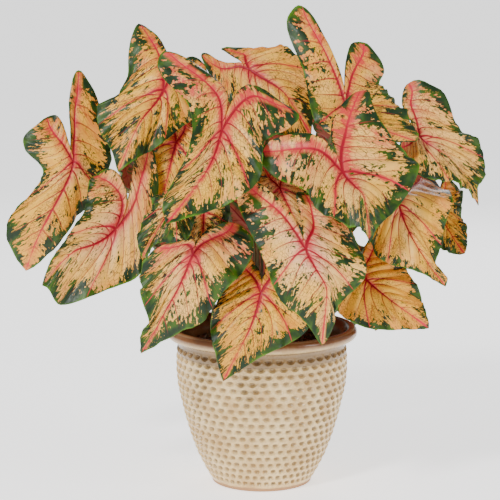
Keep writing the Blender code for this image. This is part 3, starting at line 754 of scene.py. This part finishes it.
def leaf_colour(leaf, cast, veins, thin_veins):
    """Cream panels, then the net, the pink wash, the green and the veins, each laid over the last."""
    wander = leaf["across"].join(leaf["down"], leaf["seed"] + 4.0)
    warm = cast.part(0) + (wander.noise(3.5, 2.0) - 0.5) * 1.1
    panel = warm.step(0.2, 0.7).blend(CREAM, YELLOW)
    ripe = leaf["share"] * 0.8 + (wander.noise(8.0, 3.0) - 0.5) * 1.2 + cast.part(0) * 0.3
    panel = ripe.step(0.55, 1.15, 0.0, 0.55).blend(panel, PEACH)
    panel = (leaf["share"].step(0.0, 0.70, 1.0, 0.0) * cast.part(1)).blend(panel, PALE)
    net_wire = leaf["across"].join(leaf["down"], leaf["seed"] * 5.0)
    net = net_wire.node("ShaderNodeTexVoronoi", {"feature": "DISTANCE_TO_EDGE"},
                        {"Vector": net_wire, "Scale": 27.0}).step(0.0, 0.10, 0.75, 0.0)
    bent = leaf["lateral"] + (wander.noise(14.0, 2.0) - 0.5) * 0.05
    cross = ribs(bent + 1.0, CROSS_PITCH, 0.0034) * leaf["front"] * 0.5
    panel = (net.most(cross) * wander.noise(5.0).step(0.3, 0.6)).blend(panel, NET)
    main_near = leaf["midrib"].least(leaf["basal"]).least(leaf["side_vein"] * 1.6)
    wash = main_near.step(0.0, 0.085, 1.0, 0.0)
    wash = wash + leaf["down"].step(0.0, -0.5, 0.0, 0.8) * wander.noise(6.0).step(0.35, 0.6)
    wash = wash + leaf["share"].step(0.0, 0.42, 1.0, 0.0)
    brush = (leaf["side"] * 9.0).join(leaf["lateral"] * 34.0, leaf["seed"]).noise(1.0, 2.0)
    wash = wash * leaf["pink"] * (wander.noise(11.0, 3.0) * 0.8 + brush.step(0.35, 0.65) * 0.75)
    panel = wash.least(0.88).blend(panel, ROSE)
    green = wander.noise(8.0, 2.0).step(0.40, 0.70).blend(DARK_GREEN, LEAF_GREEN)
    rim = (leaf["share"] + (wander.noise(4.0) - 0.5) * 0.12).step(0.975, 1.015)
    green = rim.blend(green, EDGE_GREEN)
    colour = green_mask(leaf).blend(panel, green)
    strength = leaf["share"].step(0.15, 0.85, 1.0, 0.6)
    colour = (thin_veins * strength).blend(colour, CRIMSON)
    vein_colour = leaf["share"].step(0.2, 0.95).blend(CRIMSON, ROSE)
    return (veins * leaf["share"].step(0.93, 1.0, 1.0, 0.2)).blend(colour, vein_colour)


def upper_finish():
    material, shader, wire = start_finish("leaf_upper", 0.42, 0.3)
    leaf = leaf_map(wire)
    cast = attribute(wire, "cast")
    veins = main_veins(leaf)
    thin_veins = side_veins(leaf)
    colour = leaf_colour(leaf, cast, veins, thin_veins)
    connect(colour, shader, "Base Color")
    grain = leaf["across"].join(leaf["down"], leaf["seed"]).noise(60.0, 3.0)
    connect(grain.step(0.2, 0.8, 0.34, 0.52), shader, "Roughness")
    height = grain * 0.35 - veins * 0.9 - thin_veins * 0.7
    add_bump(wire, height, 0.45, 0.0010, shader)
    return material


def under_finish():
    material, shader, wire = start_finish("leaf_under", 0.55, 0.3)
    leaf = leaf_map(wire)
    veins = main_veins(leaf).most(side_veins(leaf) * 0.8)
    colour = green_mask(leaf).blend(UNDER_PINK, UNDER_GREEN)
    colour = (leaf["pink"] * leaf["share"].step(0.1, 0.9, 0.5, 0.0)).blend(colour, ROSE)
    colour = (veins * 0.85).blend(colour, CRIMSON)
    connect(colour, shader, "Base Color")
    add_bump(wire, veins, 0.5, 0.0012, shader)
    return material


leaf_finishes = (upper_finish(), under_finish())
print("leaf finishes with", [len(finish.node_tree.nodes) for finish in leaf_finishes], "nodes")

# %% [markdown]
# No two leaves are tinted alike. The four shares are how pink the veins' wash is, how far the green runs
# in, how warm the panels are, and how pale the middle is. Those of the hidden leaves are drawn by lot.

# %% Leaf tints
TINTS = {
    "top_right": (0.62, 0.50, 0.55, 0.1), "centre_right": (1.0, 0.58, 0.4, 0.2),
    "centre": (1.0, 0.52, 0.5, 0.3), "upper_left": (0.50, 0.62, 0.7, 0.1),
    "far_left": (0.55, 0.52, 0.6, 0.2), "lower_left": (0.60, 0.50, 0.4, 0.7),
    "small_front_left": (0.6, 0.85, 0.4, 0.1), "lower_centre_left": (0.85, 0.62, 0.4, 0.4),
    "bottom_centre": (0.60, 0.48, 0.8, 0.0), "front_right": (0.55, 0.55, 0.3, 1.0),
    "lower_right": (0.45, 0.30, 0.9, 0.0), "right": (0.50, 0.42, 0.6, 0.3),
    "upper_right": (0.55, 0.50, 0.4, 0.5), "small_right": (0.4, 0.6, 0.7, 0.0),
    "top_centre": (0.65, 0.40, 0.6, 0.3), "inner_left": (0.9, 0.6, 0.6, 0.0),
    "inner_centre": (0.9, 0.5, 0.3, 0.5), "inner_low": (0.9, 0.7, 0.4, 0.0),
}
TINT_SPANS = ((0.45, 1.0), (0.4, 0.65), (0.3, 0.8), (0.0, 0.7))
TINT_SEED = 7


def draw_tints(hidden):
    """Fill in the tints of the leaves that the photograph hides."""
    lot = random.Random(TINT_SEED)
    for name in hidden:
        TINTS[name] = tuple(lot.uniform(*span) for span in TINT_SPANS)


draw_tints(BACK_LEAVES)
print("tints for", len(TINTS), "leaves")

# %% Make every blade
names = list(LEAVES) + list(BACK_LEAVES)
for seed, name in enumerate(names):
    make_blade(name, seed, leaf_finishes)
print(len(names), "leaves")

# %% [markdown]
# A stalk is a smooth round rod. The solid stalks have few sides, so a copy of each is rounded by
# subdivision, which also thins it a little. The colour runs from dull green to brown with fine streaks.

# %% Stalks
STALK_GREEN = linear(0.34, 0.36, 0.16)
STALK_BROWN = linear(0.30, 0.17, 0.12)
WELD_DISTANCE = 0.00001
ROUNDING = 2


def stalk_finish():
    material, shader, wire = start_finish("stalk", 0.45)
    place = object_place(wire)
    streak = (place.part(0) * 900.0).join(place.part(1) * 900.0, place.part(2) * 60.0).noise(1.0, 3.0)
    height = place.part(2).step(0.14, 0.36)
    shade = (streak * 0.8 + height * 0.35).step(0.3, 0.8)
    connect(shade.blend(STALK_BROWN, STALK_GREEN), shader, "Base Color")
    add_bump(wire, streak, 0.25, 0.0004, shader)
    return material


def round_stalk(name, finish):
    node = bpy.data.objects[name + "_stalk"]
    data = node.data.copy()
    data.materials.clear()
    data.shade_smooth()
    rod = add_object(name + "_rod", data, finish)
    rod.matrix_world = node.matrix_world
    weld = rod.modifiers.new("weld", "WELD")
    weld.merge_threshold = WELD_DISTANCE
    smooth = rod.modifiers.new("round", "SUBSURF")
    smooth.levels = ROUNDING
    smooth.render_levels = ROUNDING
    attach(rod, "root")
    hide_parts(name + "_stalk")


stalk_skin = stalk_finish()
for name in names:
    round_stalk(name, stalk_skin)
print(len(names), "stalks")

# %% [markdown]
# The pot was thrown and then pressed all over with a round tool, in rows that step by half a pitch and
# stray a little. Each mark is a scoop, steep above and shallow below, with a raised lip under it. The
# relief is a formula on a fine turned grid, and the finish uses the same scoops to place its glaze and a
# painted highlight on each lip.

# %% Pot form
POT_FLOOR = 0.0115
POT_RIM_RADIUS = 0.102
POT_HEIGHT = 0.1685
RIM_ROLL = 0.0062
LIP_TURNS = range(150, -61, -15)
WALL_HEIGHTS = (POT_FLOOR, 0.022, 0.0497, 0.0894, 0.1224, 0.1432, 0.153)
WALL_RADII = (0.046, 0.0575, 0.0691, 0.0797, 0.0848, 0.0841, 0.0822)
SCOOPS = 48
SCOOP_ROWS = 19
SCOOP_LOW = 0.0052
SCOOP_HIGH = 0.1493
SCOOP_DEPTH = 0.0019
SCOOP_WIDE = 0.37
SCOOP_ABOVE = 0.17
SCOOP_BELOW = 0.46
SCOOP_SHIFT = 0.20
SCOOP_LIP = 0.55
LIP_PLACE = 1.15
LIP_WIDTH = 0.20
FADE_LOW = 0.003
FADE_HIGH = 0.002
ROW_STRAY = 0.13
ROW_TURN = 1.7
COLUMNS = 528
ROWS = 184
INSIDE_ROWS = 20
LIP_ROWS = 18


def inner_wall(height):
    """Radius of the pot's inside at a height."""
    return np.interp(height, WALL_HEIGHTS, WALL_RADII)


def pot_profile():
    """Corners of the pot's section: up its inside from the floor, then over the lip and down to the foot."""
    inside = [(0.0, POT_FLOOR)]
    inside += [(float(inner_wall(height)), height) for height in WALL_HEIGHTS]
    roll_radius = POT_RIM_RADIUS - RIM_ROLL
    roll_height = POT_HEIGHT - RIM_ROLL
    lip = [(roll_radius + RIM_ROLL * math.cos(math.radians(turn)),
            roll_height + RIM_ROLL * math.sin(math.radians(turn))) for turn in LIP_TURNS]
    outside = [(0.0895, 0.1535), (0.0888, 0.1505), (0.0899, 0.1455), (0.0905, 0.139), (0.0908, 0.1224),
               (0.0893, 0.106), (0.0857, 0.0894), (0.0811, 0.070), (0.0751, 0.0497), (0.0686, 0.032),
               (0.0613, 0.0168), (0.0556, 0.0065), (0.0545, 0.004), (0.053, 0.0)]
    return inside, lip + outside


def even_points(corners, count):
    """A polyline's points at even spacing."""
    path = np.array(corners)
    run = np.concatenate([[0], np.cumsum(np.linalg.norm(np.diff(path, axis=0), axis=1))])
    stops = np.linspace(0, run[-1], count)
    return np.column_stack([np.interp(stops, run, path[:, 0]), np.interp(stops, run, path[:, 1])])


def scoop_relief(turn, height):
    """Height of the pressed marks over the plain wall: a hollow over a raised, rounded lip."""
    level = (SCOOP_HIGH - height) / (SCOOP_HIGH - SCOOP_LOW) * SCOOP_ROWS
    row = np.floor(level)
    down = level - row - 0.5
    stray = 0.5 * np.mod(row, 2) + ROW_STRAY * np.sin(ROW_TURN * row)
    across = (turn / (2 * np.pi) * SCOOPS + stray) % 1.0 - 0.5
    fall = down + SCOOP_SHIFT
    radius = np.hypot(across / SCOOP_WIDE, np.where(fall < 0, fall / SCOOP_ABOVE, fall / SCOOP_BELOW))
    bowl = np.clip(1.0 - radius ** 2, 0, 1)
    lip = np.exp(-((radius - LIP_PLACE) / LIP_WIDTH) ** 2) * np.clip(0.3 + fall * 2.0, 0, 1)
    band = np.clip((height - SCOOP_LOW) / FADE_LOW, 0, 1) * np.clip((SCOOP_HIGH - height) / FADE_HIGH, 0, 1)
    return (SCOOP_LIP * lip - bowl) * band


def make_pot(finish):
    inside, outside = pot_profile()
    section = np.vstack([even_points(inside, INSIDE_ROWS), even_points(outside, ROWS - INSIDE_ROWS)[1:],
                         [(0.0, 0.0)]])
    mesh = bmesh.new()
    bmesh.ops.create_grid(mesh, x_segments=COLUMNS, y_segments=len(section) - 1, size=1.0)
    data = mesh_data("glazed_pot", mesh)
    grid = np.empty(len(data.vertices) * 3)
    data.vertices.foreach_get("co", grid)
    grid = grid.reshape(-1, 3)
    turn = (grid[:, 0] + 1) * math.pi
    line = np.rint((grid[:, 1] + 1) / 2 * (len(section) - 1)).astype(int)
    radius, height = section[line, 0], section[line, 1]
    outer = line > INSIDE_ROWS + LIP_ROWS
    radius = radius + np.where(outer, scoop_relief(turn, height) * SCOOP_DEPTH, 0.0)
    place = np.column_stack([radius * np.cos(turn), radius * np.sin(turn), height])
    data.vertices.foreach_set("co", place.ravel())
    closed = bmesh.new()
    closed.from_mesh(data)
    bmesh.ops.remove_doubles(closed, verts=closed.verts, dist=MERGE_DISTANCE)
    bmesh.ops.recalc_face_normals(closed, faces=closed.faces)
    closed.to_mesh(data)
    closed.free()
    data.shade_smooth()
    pot = add_object("glazed_pot", data, finish)
    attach(pot, "root")
    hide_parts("pot")
    print("pot corners", len(data.vertices))


print(SCOOPS, "scoops in each of", SCOOP_ROWS, "rows")

# %% [markdown]
# The glaze is a warm cream that breaks thin and pale on edges and pools grey-brown in the hollows. It turns
# to rust over the top of the lip and darker inside it, and it stops short of the foot at the bare clay. The
# pale on the pressed lips is partly a painted highlight, and a painted shade darkens the band under the rim.

# %% Pot finish
GLAZE_CREAM = linear(0.80, 0.65, 0.42)
GLAZE_PALE_AND_HIGHLIGHT = linear(0.95, 0.83, 0.60)
GLAZE_POOL_AND_SHADE = linear(0.42, 0.32, 0.19)
GLAZE_RUST = linear(0.42, 0.23, 0.10)
GLAZE_DARK = linear(0.28, 0.15, 0.08)
BARE_CLAY = linear(0.68, 0.52, 0.36)


def scoop_masks(place):
    """The pressed marks again, in shader maths: how deep in a hollow, and how near a lip."""
    turn = place.math("ARCTAN2", place.part(1), place.part(0)) / (2 * math.pi) * SCOOPS + 2 * SCOOPS
    height = place.part(2)
    level = (SCOOP_HIGH - height) / ((SCOOP_HIGH - SCOOP_LOW) / SCOOP_ROWS)
    row = level - level.remainder()
    stray = (row * 0.5).remainder() + row.math("SINE", row * ROW_TURN) * ROW_STRAY
    across = (turn + stray).remainder() - 0.5
    fall = level.remainder() - 0.5 + SCOOP_SHIFT
    tall = fall.least(0.0) / SCOOP_ABOVE + fall.most(0.0) / SCOOP_BELOW
    radius = ((across / SCOOP_WIDE) ** 2.0 + tall ** 2.0).root()
    foot_fade = height.step(SCOOP_LOW, SCOOP_LOW + FADE_LOW)
    band = foot_fade * height.step(SCOOP_HIGH - FADE_HIGH, SCOOP_HIGH, 1.0, 0.0)
    bowl = radius.step(0.35, 1.0, 1.0, 0.0) * band
    lip = abs(radius - LIP_PLACE).step(0.0, 0.24, 1.0, 0.0) * fall.step(0.0, 0.35) * band
    return bowl, lip


def pot_finish():
    material, shader, wire = start_finish("pot_glaze", 0.22)
    place = object_place(wire)
    height = place.part(2)
    bowl, lip = scoop_masks(place)
    cloud = place.noise(42.0, 4.0)
    speck = place.noise(420.0, 3.0)
    colour = (cloud * 0.8 + speck * 0.4).step(0.40, 0.85).blend(GLAZE_CREAM, GLAZE_PALE_AND_HIGHLIGHT)
    colour = (bowl * (0.25 + cloud * 0.8)).least(0.85).blend(colour, GLAZE_POOL_AND_SHADE)
    # painted highlight: the raised lips are paled both where the glaze breaks thin and where they catch the
    # light
    colour = (lip * 0.55).blend(colour, GLAZE_PALE_AND_HIGHLIGHT)
    drift = (cloud - 0.5) * 0.004
    level = height + drift
    # painted shade: a darker band under the rolled rim, where the rim's shadow falls
    under_rim_shade = level.step(0.1535, 0.1560) * level.step(0.1575, 0.1600, 1.0, 0.0)
    colour = (under_rim_shade * 0.30).blend(colour, GLAZE_POOL_AND_SHADE)
    radius = (place.part(0) * place.part(0) + place.part(1) * place.part(1)).root()
    outer_lip = radius.step(0.0985, 0.1000)
    inside = radius.step(0.0950, 0.0975, 1.0, 0.0) * level.step(0.139, 0.141)
    rust = level.step(0.1560, 0.1645) * outer_lip.most(0.8)
    colour = (rust * (0.70 + cloud * 0.5)).least(0.95).blend(colour, GLAZE_RUST)
    colour = (inside * (0.35 + cloud * 0.6)).least(0.9).blend(colour, GLAZE_DARK)
    clay = (height + (cloud - 0.5) * 0.003).step(0.0030, 0.0045, 1.0, 0.0)
    colour = clay.blend(colour, BARE_CLAY)
    connect(colour, shader, "Base Color")
    connect(clay * 0.6 + speck * 0.10 + 0.14, shader, "Roughness")
    add_bump(wire, speck * 0.15 + cloud * 0.5 + lip * 0.9 - bowl * 0.9, 0.6, 0.0016, shader)
    return material


make_pot(pot_finish())

# %% [markdown]
# Potting soil is coarse: crumbs, bark and fibre. A low mound carries the crumbs as relief, and loose chips
# of bark lie on it. Only a little shows between the leaves, but the view from above sees all of it.

# %% Soil
SOIL_TOP = 0.142
SOIL_CROWN = 0.145
SOIL_GAP = 0.0003
SOIL_COLUMNS = 160
SOIL_TOP_ROWS = 62
SOIL_EDGE = 0.004
CRUMB_HEIGHT = 0.0009
CRUMB_SINK = 0.0006
CHIP_COUNT = 150
CHIP_SEED = 21
CHIP_FIELD = 0.078
CHIP_LIFT = 0.35
SOIL_DARK = linear(0.16, 0.10, 0.07)
SOIL_BROWN = linear(0.36, 0.24, 0.15)
BARK = linear(0.52, 0.34, 0.20)


def soil_finish():
    material, shader, wire = start_finish("soil", 0.95, 0.2)
    place = object_place(wire)
    crumb = place.noise(260.0, 5.0, 0.65)
    lump = place.noise(70.0, 3.0)
    colour = (crumb * 0.7 + lump * 0.5).step(0.42, 0.8).blend(SOIL_DARK, SOIL_BROWN)
    colour = place.noise(330.0, 1.0).step(0.68, 0.74).blend(colour, BARK)
    connect(colour, shader, "Base Color")
    add_bump(wire, crumb, 0.9, 0.002, shader)
    return material


def bark_finish():
    material, shader, wire = start_finish("bark_chips", 0.85)
    place = object_place(wire)
    colour = place.noise(180.0, 3.0).step(0.35, 0.7).blend(SOIL_BROWN, BARK)
    connect(colour, shader, "Base Color")
    add_bump(wire, place.noise(700.0, 2.0), 0.6, 0.001, shader)
    return material


def soil_height(x, y):
    """The mound's height with its crumbs, from a sum of rounded waves."""
    crumbs = (np.sin(x * 900 + 3 * np.sin(y * 410)) * np.sin(y * 870 + 2 * np.sin(x * 530))
              + 0.6 * np.sin(x * 1900 + y * 700) * np.sin(y * 2100 - x * 400))
    radius = np.hypot(x, y)
    crown = np.interp(radius, (0, 0.06, 0.084), (SOIL_CROWN, SOIL_CROWN, SOIL_TOP))
    return crown + CRUMB_HEIGHT * crumbs - CRUMB_SINK


def make_soil(finish):
    wall = float(inner_wall(SOIL_TOP)) - SOIL_GAP
    top = np.column_stack([np.linspace(0, wall, SOIL_TOP_ROWS), np.zeros(SOIL_TOP_ROWS)])
    levels = np.array((SOIL_TOP - SOIL_EDGE, *reversed(WALL_HEIGHTS[1:5]), POT_FLOOR + SOIL_GAP))
    side = np.column_stack([inner_wall(levels) - SOIL_GAP, levels])
    section = np.vstack([top, side, [(0.0, POT_FLOOR + SOIL_GAP)]])
    mesh = bmesh.new()
    bmesh.ops.create_grid(mesh, x_segments=SOIL_COLUMNS, y_segments=len(section) - 1, size=1.0)
    for vert in mesh.verts:
        turn = (vert.co.x + 1) * math.pi
        line = round((vert.co.y + 1) / 2 * (len(section) - 1))
        radius, height = section[line]
        x, y = radius * math.cos(turn), radius * math.sin(turn)
        if line < len(top):
            height = float(soil_height(x, y))
        vert.co = Vector((x, y, height))
    bmesh.ops.remove_doubles(mesh, verts=mesh.verts, dist=MERGE_DISTANCE)
    bmesh.ops.recalc_face_normals(mesh, faces=mesh.faces)
    data = mesh_data("potting_soil", mesh)
    data.shade_smooth()
    soil = add_object("potting_soil", data, finish)
    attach(soil, "root")
    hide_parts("soil")


def make_bark(finish):
    """Chips of bark scattered on the mound, each a squashed cube with its corners knocked about."""
    lot = random.Random(CHIP_SEED)
    mesh = bmesh.new()
    for _ in range(CHIP_COUNT):
        turn = lot.uniform(0, 2 * math.pi)
        far = CHIP_FIELD * math.sqrt(lot.uniform(0.02, 1))
        x, y = far * math.cos(turn), far * math.sin(turn)
        chip = bmesh.ops.create_cube(mesh, size=1.0)["verts"]
        length = lot.uniform(0.004, 0.011)
        width = lot.uniform(0.003, 0.006)
        thick = lot.uniform(0.0012, 0.003)
        spin = lot.uniform(0, math.pi)
        tip = lot.uniform(-0.3, 0.3)
        for vert in chip:
            a, b, c = (value * lot.uniform(0.75, 1.2) for value in vert.co)
            a, b, c = a * length, b * width, c * thick
            c += a * tip
            vert.co = Vector((x + a * math.cos(spin) - b * math.sin(spin),
                              y + a * math.sin(spin) + b * math.cos(spin),
                              float(soil_height(x, y)) + thick * CHIP_LIFT + c))
    bmesh.ops.recalc_face_normals(mesh, faces=mesh.faces)
    chips = add_object("bark_chips", mesh_data("bark_chips", mesh), finish)
    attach(chips, "root")


make_soil(soil_finish())
make_bark(bark_finish())
print("a soil mound and", CHIP_COUNT, "bark chips")
